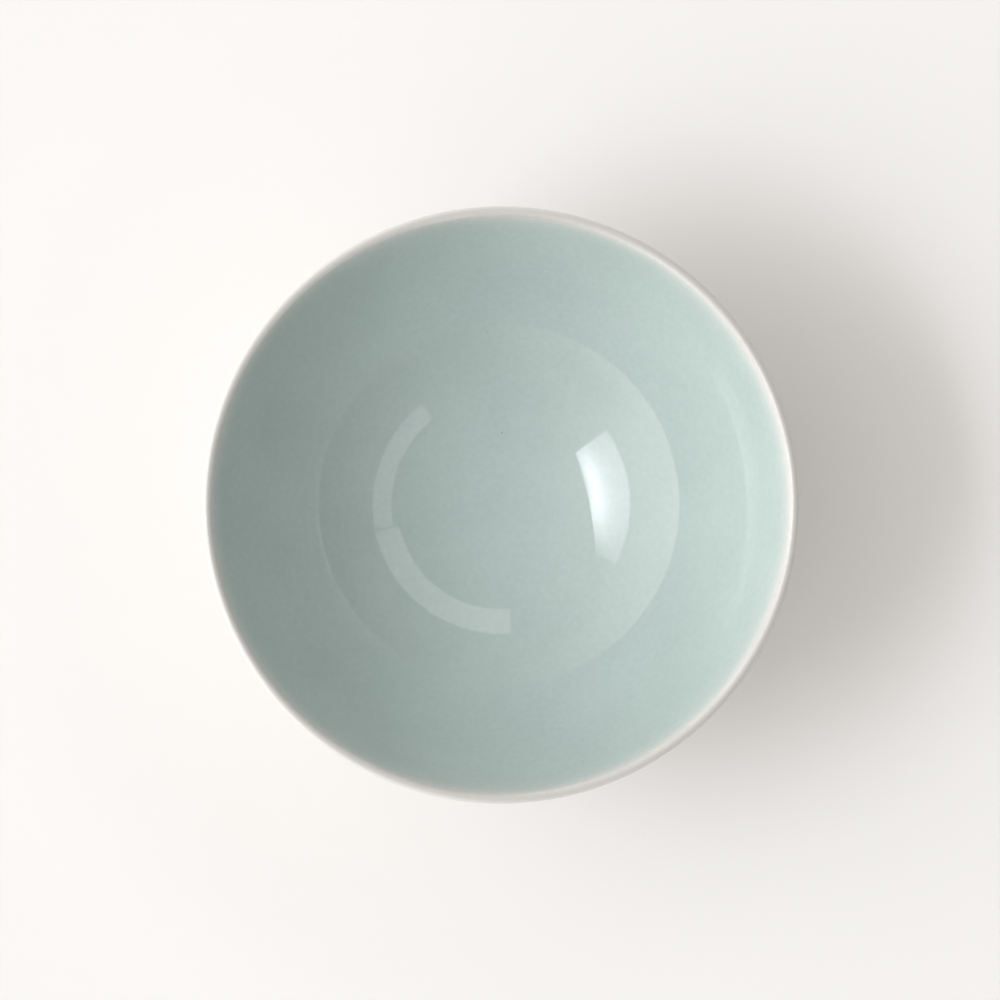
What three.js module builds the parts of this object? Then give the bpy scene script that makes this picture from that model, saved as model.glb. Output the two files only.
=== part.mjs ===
// A footed porcelain rice bowl: one clay body and the three coats of glaze that are fired on to it.
// Millimetres, +Z up. The origin is the centre of the foot, on the surface that the bowl stands on.

import * as THREE from 'three';

// Overall sizes, over the glaze
const bowlDiameter = 118;
const bowlHeight = 53;

// Shell
const lipThickness = 2; // over the glaze, and the diameter of the rounded lip
const shellThicknessOnAxis = 6.2; // as if the shell had no foot; it thins evenly from here to the lip
const floorThickness = 4.6; // clay and lining between the inside and the foot well

// Foot ring
const footDiameter = 50; // over the glaze
const footRingWidth = 3.3; // clay, at the height where the two glazes stop
const footWellDepth = 6.6; // to the bare clay, on the axis
const footFillet = 3; // outside, where the foot runs into the wall
const footWellCove = 2; // inside, where the ring runs into the floor
const footChamfer = 0.5; // on both edges of the face that it stands on
const bareFootHeight = 2; // wiped free of glaze, so that the foot doesn't fuse to the kiln shelf

// Glaze
const liningThicknessOnFloor = 0.6; // celadon pools in the bottom and thins towards the lip
const clearThickness = 0.3; // outside, over the lip and in the foot well

// Fineness of the facets
const roundSegments = 48;
const arcStep = THREE.MathUtils.degToRad(6.5);
const smallArcStep = THREE.MathUtils.degToRad(30);

// An arc in the half plane (radius, height). Angles run from straight down towards the outside.
// Growing an arc by a coat's thickness gives the other face of that coat.
function arcPoint(arc, angle, growth = 0) {
  const reach = arc.radius + growth;
  return new THREE.Vector2(arc.r + reach * Math.sin(angle), arc.z - reach * Math.cos(angle));
}

// The circle with its centre on the axis that passes through the lip's centre and a point on the axis.
function arcFromAxisTo(point, heightOnAxis, growth) {
  const z = (point.x ** 2 + point.y ** 2 - heightOnAxis ** 2) / (2 * (point.y - heightOnAxis));
  return { r: 0, z, radius: z - heightOnAxis + growth };
}

// Angles from one to the other, both included.
function anglesBetween(from, to, step) {
  const count = Math.max(1, Math.ceil(Math.abs(to - from) / step));
  return Array.from({ length: count + 1 }, (_, i) => from + ((to - from) * i) / count);
}

// The rounded lip, and the inside and outside of the shell, which both run into it without an edge.
const lip = {
  r: (bowlDiameter - lipThickness) / 2,
  z: bowlHeight - lipThickness / 2,
  radius: lipThickness / 2,
};
const lipCentre = new THREE.Vector2(lip.r, lip.z);
const insideBottom = footWellDepth + floorThickness;
const outsideBottom = insideBottom - shellThicknessOnAxis;
const inside = arcFromAxisTo(lipCentre, insideBottom - lip.radius, -lip.radius);
const outside = arcFromAxisTo(lipCentre, outsideBottom + lip.radius, lip.radius);
const insideEdge = Math.atan2(lip.r, inside.z - lip.z);
const outsideEdge = Math.atan2(lip.r, outside.z - lip.z);

// The foot's fillet rolls between the foot's upright side and the outside of the shell.
const footRadius = footDiameter / 2;
const filletR = footRadius + footFillet;
const fillet = {
  r: filletR,
  z: outside.z - Math.sqrt((outside.radius + footFillet) ** 2 - filletR ** 2),
  radius: footFillet,
};
const filletEdge = Math.asin(filletR / (outside.radius + footFillet));

// The foot well: its ceiling runs parallel to the inside, and a cove joins it to the ring's upright side.
const wellRadius = footRadius - clearThickness - footRingWidth;
const ceiling = { r: 0, z: inside.z, radius: inside.radius + floorThickness };
const coveR = wellRadius - footWellCove;
const cove = {
  r: coveR,
  z: ceiling.z - Math.sqrt((ceiling.radius + footWellCove) ** 2 - coveR ** 2),
  radius: footWellCove,
};
const coveEdge = Math.asin(coveR / (ceiling.radius + footWellCove));

// Outlines, each from the foot's side to the lip or from the axis outwards. A coat of no thickness
// gives the face that shows, and the coat's own thickness gives the clay under it.
function lipAndOutside(coat) {
  const aroundFillet = anglesBetween(-Math.PI / 2, filletEdge - Math.PI, smallArcStep);
  const upTheWall = anglesBetween(filletEdge, outsideEdge, arcStep);
  const overTheLip = [
    ...anglesBetween(outsideEdge, Math.PI / 2, smallArcStep),
    ...anglesBetween(Math.PI / 2, Math.PI, smallArcStep),
    ...anglesBetween(Math.PI, Math.PI + insideEdge, smallArcStep),
  ];
  return withoutRepeats([
    new THREE.Vector2(footRadius - coat, bareFootHeight),
    ...aroundFillet.map((a) => arcPoint(fillet, a, coat)),
    ...upTheWall.map((a) => arcPoint(outside, a, -coat)),
    ...overTheLip.map((a) => arcPoint(lip, a, -coat)),
  ]);
}

function insideFace(coatOnFloor, coatAtLip) {
  return anglesBetween(0, insideEdge, arcStep).map((a) => {
    const thinning = (a / insideEdge) ** 2;
    return arcPoint(inside, a, THREE.MathUtils.lerp(coatOnFloor, coatAtLip, thinning));
  });
}

function wellFace(coat) {
  const alongCeiling = anglesBetween(0, coveEdge, arcStep);
  const aroundCove = anglesBetween(Math.PI + coveEdge, Math.PI / 2, smallArcStep);
  return withoutRepeats([
    ...alongCeiling.map((a) => arcPoint(ceiling, a, coat)),
    ...aroundCove.map((a) => arcPoint(cove, a, -coat)),
    new THREE.Vector2(wellRadius - coat, bareFootHeight),
  ]);
}

// Neighbouring arcs meet at one point, which an outline holds once.
function withoutRepeats(points) {
  const closest = 1e-6;
  return points.filter((p, i) => i === 0 || p.distanceTo(points[i - 1]) > closest);
}

// The clay's own foot, from the well's side across the face that it stands on to the outside.
function bareFoot() {
  const outer = footRadius - clearThickness;
  return [
    new THREE.Vector2(wellRadius, footChamfer),
    new THREE.Vector2(wellRadius + footChamfer, 0),
    new THREE.Vector2(outer - footChamfer, 0),
    new THREE.Vector2(outer, footChamfer),
  ];
}

// Turns a closed outline about the axis. It runs anticlockwise, with the radius to the right.
function turned(outline) {
  const geometry = new THREE.LatheGeometry(outline, roundSegments);
  return geometry.rotateX(Math.PI / 2);
}

function node(name, outline, colour, roughness) {
  const material = new THREE.MeshStandardMaterial({ color: colour, roughness, metalness: 0 });
  const mesh = new THREE.Mesh(turned(outline), material);
  mesh.name = name;
  return mesh;
}

const clayOutside = lipAndOutside(clearThickness);
const clayInside = insideFace(liningThicknessOnFloor, clearThickness);
const clayWell = wellFace(0);
const glazedOutside = lipAndOutside(0);

const bowl = new THREE.Group();
bowl.name = 'rice_bowl';
bowl.add(
  node(
    'porcelain_body',
    [...clayWell, ...bareFoot(), ...clayOutside, ...clayInside.slice(0, -1).reverse()],
    0xece8e0,
    0.7,
  ),
  node(
    'celadon_lining',
    [...clayInside, ...insideFace(0, 0).reverse()],
    0xb1bfbc,
    0.12,
  ),
  node(
    'clear_glaze',
    [...glazedOutside, ...clayOutside.toReversed(), glazedOutside[0]],
    0xf3f1ec,
    0.12,
  ),
  node(
    'foot_well_glaze',
    [...wellFace(clearThickness), ...clayWell.toReversed()],
    0xf3f1ec,
    0.15,
  ),
);

export default bowl;
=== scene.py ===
# A porcelain rice bowl lined with celadon glaze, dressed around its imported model. Metres, +Z up, the
# foot's centre at the origin. Each piece of the real bowl has its own section, from the clay outwards.

import math
from collections import namedtuple

import bpy
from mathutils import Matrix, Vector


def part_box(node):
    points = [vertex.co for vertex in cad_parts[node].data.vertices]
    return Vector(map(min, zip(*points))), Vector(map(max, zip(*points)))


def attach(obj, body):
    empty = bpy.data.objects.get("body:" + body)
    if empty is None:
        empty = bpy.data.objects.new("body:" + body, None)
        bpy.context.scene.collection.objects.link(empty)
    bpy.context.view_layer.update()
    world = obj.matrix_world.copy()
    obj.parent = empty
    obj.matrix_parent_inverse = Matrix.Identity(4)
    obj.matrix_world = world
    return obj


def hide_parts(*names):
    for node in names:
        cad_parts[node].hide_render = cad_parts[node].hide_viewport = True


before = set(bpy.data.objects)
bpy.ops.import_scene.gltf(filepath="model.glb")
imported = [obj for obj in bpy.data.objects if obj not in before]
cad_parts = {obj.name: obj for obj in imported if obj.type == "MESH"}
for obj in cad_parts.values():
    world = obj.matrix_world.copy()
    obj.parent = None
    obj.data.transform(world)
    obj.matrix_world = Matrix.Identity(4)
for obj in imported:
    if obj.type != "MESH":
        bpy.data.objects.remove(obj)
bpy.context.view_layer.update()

# ------------------------------------------------------------------------------------------------
# Porcelain body
# White clay pressed over a spinning mould, trimmed on the wheel while damp, and fired. Glaze hides
# all of it but the foot ring's edge, which is wiped clean so that it can't fuse to the kiln shelf.

bowl_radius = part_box("clear_glaze")[1].x
bowl_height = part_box("clear_glaze")[1].z
clear_coat = bowl_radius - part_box("porcelain_body")[1].x
well_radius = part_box("foot_well_glaze")[1].x
bare_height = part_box("foot_well_glaze")[0].z

lining_on_floor = 0.0006
lip_thickness = 0.002
shell_on_axis = 0.0062
floor_thickness = 0.0046
foot_radius = 0.025
foot_fillet = 0.003
well_cove = 0.002
foot_edge_round = 0.0005
inside_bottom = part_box("celadon_lining")[0].z + lining_on_floor

steps_round = 256
wall_steps = 80
lip_steps = 9
corner_steps = 8

STRAIGHT_DOWN, OUTWARDS, STRAIGHT_UP = 0, math.pi / 2, math.pi

# An arc in the half plane of the outlines, with its centre r from the bowl's axis and z up.
Arc = namedtuple("Arc", "r z radius")


def arc_point(arc, angle, growth=0.0):
    """A point (r, z) on an arc, grown by a coat's thickness. Angles run from straight down outwards."""
    reach = arc.radius + growth
    return arc.r + reach * math.sin(angle), arc.z - reach * math.cos(angle)


def spaced(start, end, steps):
    """Evenly spaced angles or heights, both ends included."""
    return [start + (end - start) * i / steps for i in range(steps + 1)]


def arc_about_axis(height_on_axis, growth):
    """The arc centred on the axis through the lip's centre and a height on the axis, then grown."""
    r, z, _ = lip
    centre = (r * r + z * z - height_on_axis**2) / (2 * (z - height_on_axis))
    return Arc(0.0, centre, centre - height_on_axis + growth)


def arc_under(large, r, radius):
    """A small arc, r from the axis, that touches the underside of a large one, and the angle there."""
    reach = large.radius + radius
    return Arc(r, large.z - math.sqrt(reach * reach - r * r), radius), math.asin(r / reach)


half_lip = lip_thickness / 2
lip = Arc(bowl_radius - half_lip, bowl_height - half_lip, half_lip)
inside = arc_about_axis(inside_bottom - half_lip, -half_lip)
outside = arc_about_axis(inside_bottom - shell_on_axis + half_lip, half_lip)
ceiling = Arc(0.0, inside.z, inside.radius + floor_thickness)
fillet, fillet_top = arc_under(outside, foot_radius + foot_fillet, foot_fillet)
cove, cove_top = arc_under(ceiling, well_radius - well_cove, well_cove)
inside_end = math.atan2(lip.r, inside.z - lip.z)
outside_end = math.atan2(lip.r, outside.z - lip.z)
same_point = 1e-8


def without_repeats(points):
    kept = points[:1]
    for point in points[1:]:
        if math.dist(point, kept[-1]) > same_point:
            kept.append(point)
    return kept


def outer_face(coat):
    """From the bare foot's edge up the wall and over the lip, sunk by the thickness of a coat."""
    side = [(foot_radius - coat, z) for z in spaced(bare_height, fillet.z, 3 * corner_steps)]
    round_fillet = spaced(-OUTWARDS, fillet_top - STRAIGHT_UP, corner_steps)
    up_wall = spaced(fillet_top, outside_end, wall_steps)
    over_lip = spaced(outside_end, OUTWARDS, lip_steps // 3)
    over_lip += spaced(OUTWARDS, STRAIGHT_UP, lip_steps)
    over_lip += spaced(STRAIGHT_UP, STRAIGHT_UP + inside_end, lip_steps)
    points = side + [arc_point(fillet, a, coat) for a in round_fillet]
    points += [arc_point(outside, a, -coat) for a in up_wall]
    return without_repeats(points + [arc_point(lip, a, -coat) for a in over_lip])


def inner_face(on_floor, at_lip):
    """From the axis out to the lip, sunk by a coat that thins from the floor to the lip."""
    points = []
    for a in spaced(STRAIGHT_DOWN, inside_end, wall_steps):
        thinning = (a / inside_end) ** 2
        points.append(arc_point(inside, a, on_floor + (at_lip - on_floor) * thinning))
    return points


def well_face(coat):
    """From the axis across the foot well's ceiling and down the ring's inner side."""
    points = [arc_point(ceiling, a, coat) for a in spaced(STRAIGHT_DOWN, cove_top, 2 * corner_steps)]
    round_cove = spaced(STRAIGHT_UP + cove_top, OUTWARDS, corner_steps)
    points += [arc_point(cove, a, -coat) for a in round_cove]
    side = spaced(cove.z, bare_height, 3 * corner_steps)
    return without_repeats(points + [(well_radius - coat, z) for z in side])


def bare_foot():
    """The clay between the two glazes, from the well's side round the standing face to the outside."""
    outer = foot_radius - clear_coat
    inner_edge = Arc(well_radius + foot_edge_round, foot_edge_round, foot_edge_round)
    outer_edge = Arc(outer - foot_edge_round, foot_edge_round, foot_edge_round)
    points = [(well_radius, z) for z in spaced(bare_height, foot_edge_round, corner_steps)]
    points += [arc_point(inner_edge, a) for a in spaced(-OUTWARDS, STRAIGHT_DOWN, corner_steps)]
    points += [arc_point(outer_edge, a) for a in spaced(STRAIGHT_DOWN, OUTWARDS, corner_steps)]
    points += [(outer, z) for z in spaced(foot_edge_round, bare_height, corner_steps)]
    return without_repeats(points)


def put(tree, kind, feeds, out=0, **settings):
    """Adds a node, sets it up, feeds its sockets with values or other nodes, and gives one output."""
    made = tree.nodes.new(kind)
    for name, value in settings.items():
        setattr(made, name, value)
    for name, value in feeds.items():
        if isinstance(value, bpy.types.NodeSocket):
            tree.links.new(value, made.inputs[name])
        else:
            made.inputs[name].default_value = value
    return made.outputs[out]


def maths(tree, operation, *values):
    return put(tree, "ShaderNodeMath", dict(enumerate(values)), operation=operation)


WHEEL_INPUTS = (
    ("Outline", "NodeSocketGeometry"),
    ("Steps round", "NodeSocketInt"),
    ("Ripple depth", "NodeSocketFloat"),
    ("Ripple width", "NodeSocketFloat"),
    ("Edge wander", "NodeSocketFloat"),
    ("Finish", "NodeSocketMaterial"),
)
# For each point of an outline: metres in from the lip's crest (negative outside it), how much of the
# ripples shows, and how much of the free edge's wander is felt.
OUTLINE_VALUES = ("below_lip", "shows", "slides")
weld_distance = 1e-7
edge_waves = 90.0
sharp_bend = math.radians(40)
ripple_width = 0.012


def make_wheel():
    """The node tree that turns an outline, drawn in the half plane y = 0, about the bowl's axis."""
    tree = bpy.data.node_groups.new("turned_on_the_wheel", "GeometryNodeTree")
    for name, kind in WHEEL_INPUTS:
        tree.interface.new_socket(name, in_out="INPUT", socket_type=kind)
    tree.interface.new_socket("Skin", in_out="OUTPUT", socket_type="NodeSocketGeometry")
    given = tree.nodes.new("NodeGroupInput").outputs
    outline, steps = given["Outline"], given["Steps round"]

    # A grid with a column for each step round and a row for each point of the outline.
    rows = put(tree, "GeometryNodeAttributeDomainSize", {0: outline}, "Point Count")
    columns = put(tree, "FunctionNodeIntegerMath", {0: steps, 1: 1}, operation="ADD")
    grid = put(tree, "GeometryNodeMeshGrid", {"Vertices X": columns, "Vertices Y": rows})
    index = put(tree, "GeometryNodeInputIndex", {})
    row = put(tree, "FunctionNodeIntegerMath", {0: index, 1: rows}, operation="MODULO")
    column = put(tree, "FunctionNodeIntegerMath", {0: index, 1: rows}, operation="DIVIDE_FLOOR")

    def from_outline(field, kind):
        feeds = {"Geometry": outline, "Value": field, "Index": row}
        return put(tree, "GeometryNodeSampleIndex", feeds, data_type=kind, domain="POINT")

    skin = grid
    for name in OUTLINE_VALUES:
        field = put(tree, "GeometryNodeInputNamedAttribute", {"Name": name}, data_type="FLOAT")
        feeds = {"Geometry": skin, "Name": name, "Value": from_outline(field, "FLOAT")}
        skin = put(tree, "GeometryNodeStoreNamedAttribute", feeds, data_type="FLOAT", domain="POINT")
    spot = from_outline(put(tree, "GeometryNodeInputPosition", {}), "FLOAT_VECTOR")
    turn = maths(tree, "MULTIPLY", maths(tree, "DIVIDE", column, steps), math.tau)
    spot = put(tree, "ShaderNodeVectorRotate", {"Vector": spot, "Angle": turn}, rotation_type="Z_AXIS")
    skin = put(tree, "GeometryNodeSetPosition", {"Geometry": skin, "Position": spot})
    skin = put(tree, "GeometryNodeMergeByDistance", {"Geometry": skin, "Distance": weld_distance})

    # The glaze's free edge wanders up and down, and its face has slow, shallow ripples.
    def noise(scale):
        return put(tree, "ShaderNodeTexNoise", {"Scale": scale, "Detail": 2.0, "Roughness": 0.5})

    def value_of(name):
        return put(tree, "GeometryNodeInputNamedAttribute", {"Name": name}, data_type="FLOAT")

    wander = maths(tree, "MULTIPLY", maths(tree, "SUBTRACT", noise(edge_waves), 0.5), given["Edge wander"])
    lift = put(tree, "ShaderNodeCombineXYZ", {"Z": maths(tree, "MULTIPLY", wander, value_of("slides"))})
    skin = put(tree, "GeometryNodeSetPosition", {"Geometry": skin, "Offset": lift})
    depth = maths(tree, "MULTIPLY", given["Ripple depth"], value_of("shows"))
    sink = maths(tree, "MULTIPLY", noise(maths(tree, "DIVIDE", 1.0, given["Ripple width"])), depth)
    normal = put(tree, "GeometryNodeInputNormal", {})
    feeds = {0: normal, "Scale": maths(tree, "MULTIPLY", sink, -1.0)}
    ripple = put(tree, "ShaderNodeVectorMath", feeds, operation="SCALE")
    skin = put(tree, "GeometryNodeSetPosition", {"Geometry": skin, "Offset": ripple})

    skin = put(tree, "GeometryNodeSetShadeSmooth", {"Geometry": skin}, domain="FACE")
    bend = put(tree, "GeometryNodeInputMeshEdgeAngle", {}, "Unsigned Angle")
    soft = put(tree, "FunctionNodeCompare", {0: bend, 1: sharp_bend}, operation="LESS_THAN")
    skin = put(tree, "GeometryNodeSetShadeSmooth", {"Geometry": skin, "Shade Smooth": soft}, domain="EDGE")
    skin = put(tree, "GeometryNodeRealizeInstances", {"Geometry": skin})
    skin = put(tree, "GeometryNodeSetMaterial", {"Geometry": skin, "Material": given["Finish"]})
    tree.links.new(skin, tree.nodes.new("NodeGroupOutput").inputs[0])
    return tree


wheel = make_wheel()


def turned(name, outline, material, values=None, **sizes):
    """Turns an outline on the wheel and keeps the plain mesh. values gives each point's attributes."""
    drawn = bpy.data.meshes.new(name + "_outline")
    edges = [(i, i + 1) for i in range(len(outline) - 1)]
    drawn.from_pydata([(r, 0.0, z) for r, z in outline], edges, [])
    for value in OUTLINE_VALUES:
        numbers = (values or {}).get(value, [0.0] * len(outline))
        drawn.attributes.new(value, "FLOAT", "POINT").data.foreach_set("value", numbers)
    clay = bpy.data.objects.new(name, drawn)
    bpy.context.scene.collection.objects.link(clay)
    turning = clay.modifiers.new("turning", "NODES")
    turning.node_group = wheel
    given = {"Steps round": steps_round, "Ripple width": ripple_width, "Finish": material}
    given |= {key.replace("_", " ").capitalize(): size for key, size in sizes.items()}
    for item in wheel.interface.items_tree:
        if item.name in given:
            turning[item.identifier] = given[item.name]
    now = bpy.context.evaluated_depsgraph_get()
    mesh = bpy.data.meshes.new_from_object(clay.evaluated_get(now), depsgraph=now)
    clay.modifiers.remove(turning)
    clay.data = mesh
    mesh.name = name
    return clay


def new_material(name, roughness=0.5):
    """A material with its tree, its shader and the piece's own coordinates."""
    made = bpy.data.materials.new(name)
    made.use_nodes = True
    tree = made.node_tree
    shader = tree.nodes["Principled BSDF"]
    shader.inputs["Roughness"].default_value = roughness
    place = put(tree, "ShaderNodeTexCoord", {}, "Object")
    return made, tree, shader, place


def mix(tree, factor, first, second, blend="MIX"):
    """Mixes two colours, each a node's output or three numbers."""
    full = [c if isinstance(c, bpy.types.NodeSocket) else (*c, 1.0) for c in (first, second)]
    feeds = {0: factor, 6: full[0], 7: full[1]}
    return put(tree, "ShaderNodeMix", feeds, 2, data_type="RGBA", blend_type=blend)


def spread(tree, value, low, high, to_low=0.0, to_high=1.0, way="LINEAR"):
    """Maps a value from low..high to to_low..to_high, and holds it there beyond."""
    feeds = {"Value": value, 1: low, 2: high, 3: to_low, 4: to_high}
    return put(tree, "ShaderNodeMapRange", feeds, interpolation_type=way)


clay_shade, clay_light = (0.70, 0.665, 0.60), (0.78, 0.75, 0.69)
toasted_brown = (0.62, 0.44, 0.27)
rubbed_grey = (0.42, 0.40, 0.375)
grain_scale, patch_scale, trimming_scale = 2600.0, 160.0, 4200.0
toasted_start, toasted_end = 0.0011, 0.0001  # below the glaze's edge
rubbed_height = 0.00012
clay_dry, clay_rubbed = 0.78, 0.5  # roughness
clay_relief = 0.00006


def bare_clay():
    """Unglazed fired porcelain: fine grain, a toasted line beside the glaze, grey rubbed marks below."""
    made, tree, shader, place = new_material("bare_porcelain")
    grain = put(tree, "ShaderNodeTexNoise", {"Vector": place, "Scale": grain_scale, "Detail": 4.0})
    patch = put(tree, "ShaderNodeTexNoise", {"Vector": place, "Scale": patch_scale, "Detail": 3.0})
    height = put(tree, "ShaderNodeSeparateXYZ", {0: place}, "Z")
    # Damp trimming leaves rings that follow the foot round.
    flat = put(tree, "ShaderNodeVectorMath", {0: place, 1: (1.0, 1.0, 0.0)}, operation="MULTIPLY")
    reach = put(tree, "ShaderNodeVectorMath", {0: flat}, "Value", operation="LENGTH")
    spin = put(tree, "ShaderNodeCombineXYZ", {"X": reach, "Y": height})
    rings = put(tree, "ShaderNodeTexNoise", {"Vector": spin, "Scale": trimming_scale, "Detail": 2.0})
    colour = mix(tree, spread(tree, grain, 0.3, 0.7), clay_shade, clay_light)
    start, end = bare_height - toasted_start, bare_height - toasted_end
    line = spread(tree, height, start, end, way="SMOOTHSTEP")
    toasted = maths(tree, "MULTIPLY", line, spread(tree, patch, 0.35, 0.65, 0.25, 0.8))
    colour = mix(tree, toasted, colour, toasted_brown)
    rubbed = spread(tree, height, rubbed_height, 0.0, way="SMOOTHSTEP")
    rubbed = maths(tree, "MULTIPLY", rubbed, spread(tree, patch, 0.42, 0.6, 0.1, 0.75))
    colour = mix(tree, rubbed, colour, rubbed_grey)
    tree.links.new(colour, shader.inputs["Base Color"])
    tree.links.new(spread(tree, rubbed, 0.0, 1.0, clay_dry, clay_rubbed), shader.inputs["Roughness"])
    relief = maths(tree, "ADD", maths(tree, "MULTIPLY", rings, 0.6), grain)
    feeds = {"Strength": 0.5, "Distance": clay_relief, "Height": relief}
    tree.links.new(put(tree, "ShaderNodeBump", feeds), shader.inputs["Normal"])
    return made


clay_inside = inner_face(lining_on_floor, clear_coat)
clay_well = well_face(0.0)
clay_outside = outer_face(clear_coat)
clay_outline = clay_well + bare_foot()[1:-1] + clay_outside + clay_inside[-2::-1]
porcelain = turned("fired_porcelain_body", clay_outline, bare_clay())
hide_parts("porcelain_body")
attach(porcelain, "root")

# ------------------------------------------------------------------------------------------------
# Celadon lining
# A pale blue-green glaze poured in, swirled round and tipped out. It pools in the bottom, and drains
# thin off the lip in the kiln, so that the white clay shows through it there.


# Metres across, and the range of roughness.
speck_small, speck_large = 0.00014, 0.00042
bubble_small, bubble_large = 0.00012, 0.0003
rub_size, peel_size = 0.006, 0.0028
glaze_smooth, glaze_rubbed = 0.03, 0.055


def make_glaze_faults():
    """The small faults that every fired glaze has, as masks and values that vary over the surface."""
    tree = bpy.data.node_groups.new("fired_glaze", "ShaderNodeTree")
    for name, size in (("Cloud size", 0.02), ("Mottle size", 0.0012), ("Speck spacing", 0.009)):
        made = tree.interface.new_socket(name, in_out="INPUT", socket_type="NodeSocketFloat")
        made.default_value = size
    for name in ("Cloud", "Mottle", "Iron speck", "Bubble", "Roughness", "Height"):
        tree.interface.new_socket(name, in_out="OUTPUT", socket_type="NodeSocketFloat")
    given = tree.nodes.new("NodeGroupInput").outputs
    place = put(tree, "ShaderNodeTexCoord", {}, "Object")

    def noise(size, detail):
        scale = maths(tree, "DIVIDE", 1.0, size)
        return put(tree, "ShaderNodeTexNoise", {"Vector": place, "Scale": scale, "Detail": detail})

    def dots(spacing, small, large):
        """Round dots of mixed sizes, in metres across, one for each cell that the surface meets."""
        feeds = {"Vector": place, "Scale": maths(tree, "DIVIDE", 1.0, spacing)}
        near = put(tree, "ShaderNodeTexVoronoi", feeds)
        pick = put(tree, "ShaderNodeSeparateColor", {0: near.node.outputs["Color"]})
        reach = maths(tree, "DIVIDE", spread(tree, pick, 0.0, 1.0, small / 2, large / 2), spacing)
        return maths(tree, "SUBTRACT", 1.0, spread(tree, maths(tree, "DIVIDE", near, reach), 0.6, 1.3))

    cloud = noise(given["Cloud size"], 2.0)
    mottle = noise(given["Mottle size"], 2.0)
    iron = dots(given["Speck spacing"], speck_small, speck_large)
    closer = maths(tree, "MULTIPLY", given["Speck spacing"], 0.5)
    bubble = dots(closer, bubble_small, bubble_large)
    rub = noise(rub_size, 5.0)
    peel = noise(peel_size, 1.0)
    height = maths(tree, "SUBTRACT", maths(tree, "MULTIPLY", peel, 0.25), iron)
    height = maths(tree, "ADD", height, maths(tree, "MULTIPLY", bubble, -0.6))
    ends = tree.nodes.new("NodeGroupOutput").inputs
    tree.links.new(spread(tree, cloud, 0.3, 0.7), ends["Cloud"])
    tree.links.new(spread(tree, mottle, 0.25, 0.75), ends["Mottle"])
    tree.links.new(iron, ends["Iron speck"])
    tree.links.new(bubble, ends["Bubble"])
    tree.links.new(spread(tree, rub, 0.35, 0.7, glaze_smooth, glaze_rubbed), ends["Roughness"])
    tree.links.new(height, ends["Height"])
    return tree


glaze_faults = make_glaze_faults()

# On the lip's crest a darker, warmer beige is painted: painted shade on the rim and a painted reflection
# of the warm, shaded table beside the bowl.
crest_beige_painted_shade = (0.535, 0.528, 0.505)
inner_white = (0.63, 0.64, 0.625)
outside_white = (0.70, 0.69, 0.67)
celadon_thin = (0.447, 0.533, 0.520)
celadon_thick = (0.418, 0.503, 0.491)
lip_arc_length = lip.radius * inside_end
# Metres below the lip's crest where its painted shade and warm reflection give way to the inner white.
crest_start, crest_end = 0.0003, 0.0013
bubble_pale, iron_dark = (0.80, 0.82, 0.80), (0.17, 0.15, 0.12)
bubble_shows, iron_shows = 0.35, 0.6
fade_start, fade_length, fade_wander = 0.0017, 0.002, 0.0006
mottle_dark, mottle_light = 0.965, 1.03
ripples_start, ripples_full = 0.0015, 0.006  # below the lip


def celadon_over_white(tree, faults):
    """Celadon that thins towards the lip, over white clay, with a darker, warmer beige on the lip's crest
    that is painted shade and a painted reflection of the warm table.
    """
    below = put(tree, "ShaderNodeAttribute", {}, "Fac", attribute_name="below_lip")
    drawn = maths(tree, "MULTIPLY", maths(tree, "SUBTRACT", faults["Cloud"], 0.5), fade_wander)
    below = maths(tree, "ADD", below, drawn)
    # The crest's painted shade and warm painted reflection give way to the inner white just below the
    # crest.
    white = spread(tree, below, crest_start, crest_end, way="SMOOTHSTEP")
    white = mix(tree, white, crest_beige_painted_shade, inner_white)
    below = maths(tree, "SUBTRACT", below, fade_start)
    thickness = maths(tree, "DIVIDE", maths(tree, "MAXIMUM", below, 0.0), fade_length)
    left = maths(tree, "EXPONENT", maths(tree, "MULTIPLY", thickness, -1.0))
    celadon = mix(tree, faults["Cloud"], celadon_thin, celadon_thick)
    celadon = mix(tree, left, celadon, white)
    lighter = spread(tree, faults["Mottle"], 0.0, 1.0, mottle_dark, mottle_light)
    grey = put(tree, "ShaderNodeCombineColor", {0: lighter, 1: lighter, 2: lighter})
    return mix(tree, 1.0, celadon, grey, "MULTIPLY")


def glaze_material(name, colour_of, pit_depth=0.00003, **sizes):
    """A glossy glaze. colour_of(tree, faults) gives the colour under its specks and bubbles."""
    made, tree, shader, _ = new_material(name)
    skin = tree.nodes.new("ShaderNodeGroup")
    skin.node_tree = glaze_faults
    for key, size in sizes.items():
        skin.inputs[key.replace("_", " ").capitalize()].default_value = size
    faults = skin.outputs
    colour = colour_of(tree, faults)
    colour = mix(tree, maths(tree, "MULTIPLY", faults["Bubble"], bubble_shows), colour, bubble_pale)
    colour = mix(tree, maths(tree, "MULTIPLY", faults["Iron speck"], iron_shows), colour, iron_dark)
    tree.links.new(colour, shader.inputs["Base Color"])
    tree.links.new(faults["Roughness"], shader.inputs["Roughness"])
    feeds = {"Strength": 0.35, "Distance": pit_depth, "Height": faults["Height"]}
    tree.links.new(put(tree, "ShaderNodeBump", feeds), shader.inputs["Normal"])
    shader.inputs["IOR"].default_value = 1.5
    return made


def eased(value, start, end):
    """0 before start, 1 after end and smooth between."""
    share = min(1.0, max(0.0, (value - start) / (end - start)))
    return share * share * (3 - 2 * share)


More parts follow.
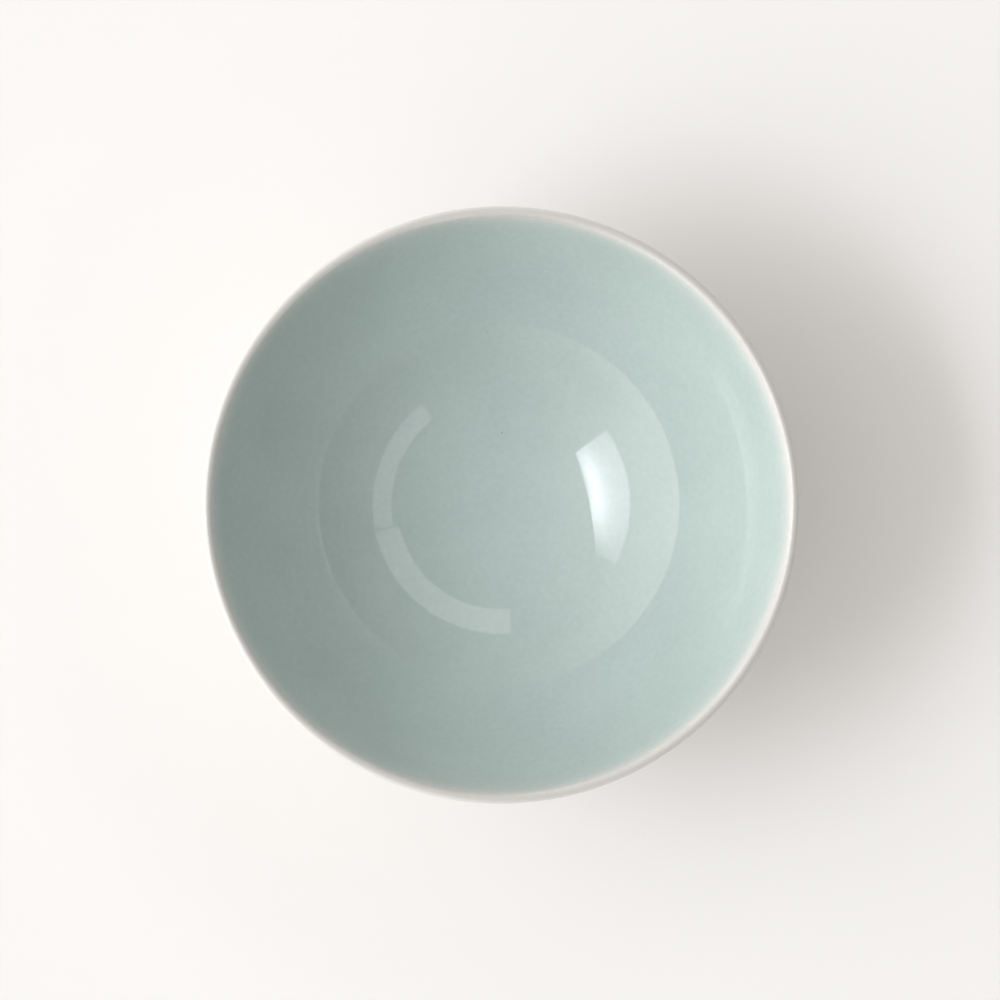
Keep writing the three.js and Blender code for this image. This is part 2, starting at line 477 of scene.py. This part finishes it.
lining_top = inner_face(0.0, 0.0)[::-1]
lining_outline = clay_inside + lining_top
down_from_lip = [
    lip_arc_length + inside.radius * (inside_end - a)
    for a in spaced(inside_end, STRAIGHT_DOWN, wall_steps)
]
hidden = len(clay_inside)
lining_values = {
    "below_lip": down_from_lip[::-1] + down_from_lip,
    "shows": [0.0] * hidden + [eased(d, ripples_start, ripples_full) for d in down_from_lip],
}
celadon = glaze_material("celadon_glaze", celadon_over_white)
lining = turned("celadon_glaze_lining", lining_outline, celadon, lining_values, ripple_depth=0.000006)
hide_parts("celadon_lining")
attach(lining, "root")

# ------------------------------------------------------------------------------------------------
# Clear glaze
# A colourless glaze over the white clay outside, from just above the foot's edge up and over the lip.
# Its lower edge was sponged off by hand, so it swells into a soft roll and wanders a little.

roll_nose = 0.00035
roll_swell = 0.25
roll_height = 0.0012
wander_reach = 0.004
edge_wander = 0.0006
# Where the crest's painted shade and warm reflection end on the outside.
crest_outer_edge = -0.0012  # down the outside from the lip's crest
outer_ripples_start, outer_ripples_full = -0.0002, 0.001
cloud_tint = (0.97, 0.975, 0.98)


def roll(distance):
    """How full the glaze is near its free edge: a round nose, a swollen roll, then its even coat."""
    nose = math.sqrt(max(0.0, 1 - (1 - min(distance / roll_nose, 1.0)) ** 2))
    swell = math.exp(-(((distance - roll_height / 2) / (roll_height / 2)) ** 2))
    return nose * (1 + roll_swell * swell)


def clear_over_white(tree, faults):
    """White clay under clear glaze, with the lining's last thin edge on the inside of the lip."""
    below = put(tree, "ShaderNodeAttribute", {}, "Fac", attribute_name="below_lip")
    # Down the outside from the crest, the same painted shade and warm painted reflection fade to the
    # outside white.
    white = spread(tree, below, crest_outer_edge, 0.0, way="SMOOTHSTEP")
    white = mix(tree, white, outside_white, crest_beige_painted_shade)
    cloudy = mix(tree, faults["Cloud"], (1.0, 1.0, 1.0), cloud_tint)
    white = mix(tree, 1.0, white, cloudy, "MULTIPLY")
    inside_lip = maths(tree, "GREATER_THAN", below, 0.0)
    return mix(tree, inside_lip, white, celadon_over_white(tree, faults))


def free_edge(points, coat):
    """Thins a face towards the clay at its free edge, and gives how far each point may slide."""
    shaped, slides = [], []
    for (r, z), (clay_r, clay_z) in points:
        fullness = roll(z - bare_height) if z < bare_height + wander_reach else 1.0
        shaped.append((clay_r + (r - clay_r) * fullness, clay_z + (z - clay_z) * fullness))
        slides.append(1 - eased(z, bare_height, bare_height + wander_reach))
    return shaped, slides


clear_face, clear_slides = free_edge(list(zip(outer_face(0.0), clay_outside)), clear_coat)
clear_outline = clear_face + clay_outside[::-1]
past_top = [math.atan2(lip.r - r, z - lip.z) if z > lip.z else -1.0 for r, z in clear_face]
below_lip = [lip.radius * a for a in past_top]
clear_values = {
    "below_lip": below_lip + below_lip[::-1],
    "shows": [
        eased(-b, outer_ripples_start, outer_ripples_full) * (1 - s)
        for b, s in zip(below_lip, clear_slides)
    ] + [0.0] * len(clay_outside),
    "slides": clear_slides + clear_slides[::-1],
}
clear = glaze_material("clear_glaze_over_white", clear_over_white)
glaze = turned(
    "clear_glaze_coat", clear_outline, clear, clear_values, ripple_depth=0.00001,
    edge_wander=edge_wander,
)
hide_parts("clear_glaze")
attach(glaze, "root")

# ------------------------------------------------------------------------------------------------
# Foot well glaze
# The same clear glaze inside the foot ring. It was brushed in and gathers in the cove, where its
# slight iron content shows as a cool grey tint.


well_shade, gathered_tint = (0.705, 0.705, 0.685), (0.66, 0.70, 0.68)
gathered_width, gathered_shows = 1.8 * well_cove, 0.7


def clear_in_well(tree, faults):
    """White, cooler where the glaze has gathered in the cove."""
    place = put(tree, "ShaderNodeTexCoord", {}, "Object")
    flat = put(tree, "ShaderNodeVectorMath", {0: place, 1: (1.0, 1.0, 0.0)}, operation="MULTIPLY")
    reach = put(tree, "ShaderNodeVectorMath", {0: flat}, "Value", operation="LENGTH")
    white = mix(tree, faults["Cloud"], outside_white, well_shade)
    gathered = spread(tree, reach, well_radius - gathered_width, well_radius, way="SMOOTHSTEP")
    return mix(tree, maths(tree, "MULTIPLY", gathered, gathered_shows), white, gathered_tint)


well_points = list(zip(well_face(clear_coat), clay_well))
well_shaped, well_slides = free_edge(well_points, clear_coat)
well_outline = well_shaped + clay_well[::-1]
well_values = {
    "shows": [1 - s for s in well_slides] + [0.0] * len(clay_well),
    "slides": well_slides + well_slides[::-1],
}
well_clear = glaze_material("clear_glaze_in_well", clear_in_well, speck_spacing=0.005)
well_glaze = turned(
    "foot_well_glaze_coat", well_outline, well_clear, well_values, ripple_depth=0.00002,
    edge_wander=edge_wander,
)
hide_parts("foot_well_glaze")
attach(well_glaze, "root")

# ------------------------------------------------------------------------------------------------
# Table, light and camera
# A plain white table top by a high, soft window on the bowl's -X side, in a pale room. Nothing here
# is part of the bowl.

half_table = 3.0
table_shade, table_light = (0.80, 0.798, 0.794), (0.815, 0.813, 0.809)
table_mesh = bpy.data.meshes.new("table_top")
corners = [(-1, -1), (1, -1), (1, 1), (-1, 1)]
table_mesh.from_pydata([(x * half_table, y * half_table, 0.0) for x, y in corners], [], [(0, 1, 2, 3)])
table = bpy.data.objects.new("table_top", table_mesh)
bpy.context.scene.collection.objects.link(table)
table_white, tree, shader, place = new_material("table_white", roughness=0.6)
soft = put(tree, "ShaderNodeTexNoise", {"Vector": place, "Scale": 3.0, "Detail": 2.0})
white = mix(tree, soft, table_shade, table_light)
tree.links.new(white, shader.inputs["Base Color"])
shader.inputs["Specular IOR Level"].default_value = 0.2
table_mesh.materials.append(table_white)

# The room's own light: even, and brighter towards the window's side.
room_warmth = (1.04, 1.0, 0.95, 1.0)
room_even, room_brighter, room_narrowing = 0.29, 2.35, 3.0
window_side = (-0.998, -0.07, 0.0)
room = bpy.data.worlds.new("pale_room")
room.use_nodes = True
tree = room.node_tree
feeds = {0: put(tree, "ShaderNodeTexCoord", {}, "Generated"), 1: window_side}
towards = put(tree, "ShaderNodeVectorMath", feeds, "Value", operation="DOT_PRODUCT")
towards = maths(tree, "POWER", spread(tree, towards, -1.0, 1.0), room_narrowing)
light = maths(tree, "ADD", maths(tree, "MULTIPLY", towards, room_brighter), room_even)
tree.links.new(light, tree.nodes["Background"].inputs["Strength"])
tree.nodes["Background"].inputs["Color"].default_value = room_warmth
bpy.context.scene.world = room


def lamp_pane(name, azimuth, sideways, width, bottom, top, radiance, away=1.2):
    """An upright soft pane that faces the bowl. Its sizes are shares of its distance from the bowl."""
    lamp = bpy.data.lights.new(name, "AREA")
    lamp.shape = "RECTANGLE"
    lamp.size = width * away
    lamp.size_y = (top - bottom) * away
    lamp.energy = radiance * math.pi * lamp.size * lamp.size_y
    turn = math.radians(azimuth)
    east, north = math.cos(turn), math.sin(turn)
    x, y = away * (east - sideways * north), away * (north + sideways * east)
    pane = bpy.data.objects.new(name, lamp)
    pane.location = (x, y, away * (top + bottom) / 2)
    pane.rotation_euler = (math.pi / 2, 0.0, turn + math.pi / 2)
    bpy.context.scene.collection.objects.link(pane)
    return lamp


def rise(degrees):
    return math.tan(math.radians(degrees))


pane_step = 12


def panel(name, azimuth, width, low, high, radiance):
    """An arc of upright panes about the bowl, from one elevation to another. All in degrees."""
    panes = max(1, round(width / pane_step))
    step = width / panes
    for i in range(panes):
        turn = azimuth + (i - (panes - 1) / 2) * step
        lamp_pane(f"{name}_{i}", turn, 0.0, 2 * rise(step / 2), rise(low), rise(high), radiance)


# The window, in degrees round from +X and above the table. The sky in it brightens with height, in
# metres, and dims towards both ends, over a weaker glow that dims towards the +Y end.
window_way, window_back_end, window_front_end = 194, 153, 215
window_low, window_top = 40.4, 57.2
window_soft_edge, pane_below_window = 0.4, 1
window_blue = (0.975, 1.0, 1.05)
sky_height, sky_fade, sky_most = 1.5, 0.23, 1.5
sky_dim, sky_bright = 0.05, 6.4
sky_end_dim, sky_top_dim, sky_top_band = 0.3, 0.3, 2.5
glow_dim, glow_bright = 1.8, 2.6
# Degrees round from -X, where each of them changes. Negative is towards +Y.
sky_brightens, sky_dims, glow_brightens = (-24.0, 2.0), (36.0, 18.0), (-27.0, 0.0)

back, front = rise(window_back_end - window_way), rise(window_front_end - window_way)
window = lamp_pane(
    "window", window_way, (back + front) / 2, front - back,
    rise(window_low - pane_below_window), rise(window_top), 1.0,
)
window.color = window_blue
window.use_nodes = True
tree = window.node_tree
spot = put(tree, "ShaderNodeNewGeometry", {}, "Position")
x, y, z = put(tree, "ShaderNodeSeparateXYZ", {0: spot}).node.outputs
flat = put(tree, "ShaderNodeVectorMath", {0: spot, 1: (1.0, 1.0, 0.0)}, operation="MULTIPLY")
out = put(tree, "ShaderNodeVectorMath", {0: flat}, "Value", operation="LENGTH")
# Degrees above the table, and degrees round from the -X axis, as seen from the bowl.
up = maths(tree, "MULTIPLY", maths(tree, "ARCTAN2", z, out), math.degrees(1))
side = maths(tree, "ARCTAN2", maths(tree, "MULTIPLY", y, -1.0), maths(tree, "MULTIPLY", x, -1.0))
side = maths(tree, "MULTIPLY", side, math.degrees(1))
sky = maths(tree, "DIVIDE", maths(tree, "SUBTRACT", z, sky_height), sky_fade)
sky = maths(tree, "MINIMUM", maths(tree, "EXPONENT", sky), sky_most)
sky = maths(tree, "MULTIPLY", sky, spread(tree, side, *sky_brightens, sky_dim, sky_bright))
sky = maths(tree, "MULTIPLY", sky, spread(tree, side, *sky_dims, sky_end_dim, 1.0))
top = spread(tree, up, window_top, window_top - sky_top_band, sky_top_dim, 1.0)
sky = maths(tree, "MULTIPLY", sky, top)
glow = maths(tree, "ADD", sky, spread(tree, side, *glow_brightens, glow_dim, glow_bright))
edge = spread(tree, up, window_low - window_soft_edge, window_low + window_soft_edge)
glow = maths(tree, "MULTIPLY", glow, edge)
tree.links.new(glow, tree.nodes["Emission"].inputs["Strength"])

# Two dim reflector panels round the side away from the window, from its lower edge to below its top.
panel("front_reflector", azimuth=-20.5, width=63, low=40.5, high=47.8, radiance=1.35)
panel("back_reflector", azimuth=53.5, width=83, low=40.5, high=50.3, radiance=1.6)

# The camera looks almost straight down, from a little to one side of the bowl's axis. Metres.
lens_above_lip = 0.6
camera_side = (0.026, -0.008)
aim = (0.0001, 0.0009)
framed_width = 0.1972
camera = bpy.data.objects.new("camera", bpy.data.cameras.new("camera"))
camera.location = (camera_side[0], camera_side[1], bowl_height + lens_above_lip)
look = (aim[0] - camera_side[0], aim[1] - camera_side[1], -lens_above_lip)
distance = math.hypot(*look)
camera.rotation_euler = (math.asin(look[1] / distance), math.atan2(-look[0], -look[2]), 0.0)
camera.data.lens = camera.data.sensor_width * distance / framed_width
bpy.context.scene.collection.objects.link(camera)
bpy.context.scene.camera = camera
bpy.context.scene.view_settings.view_transform = "Standard"
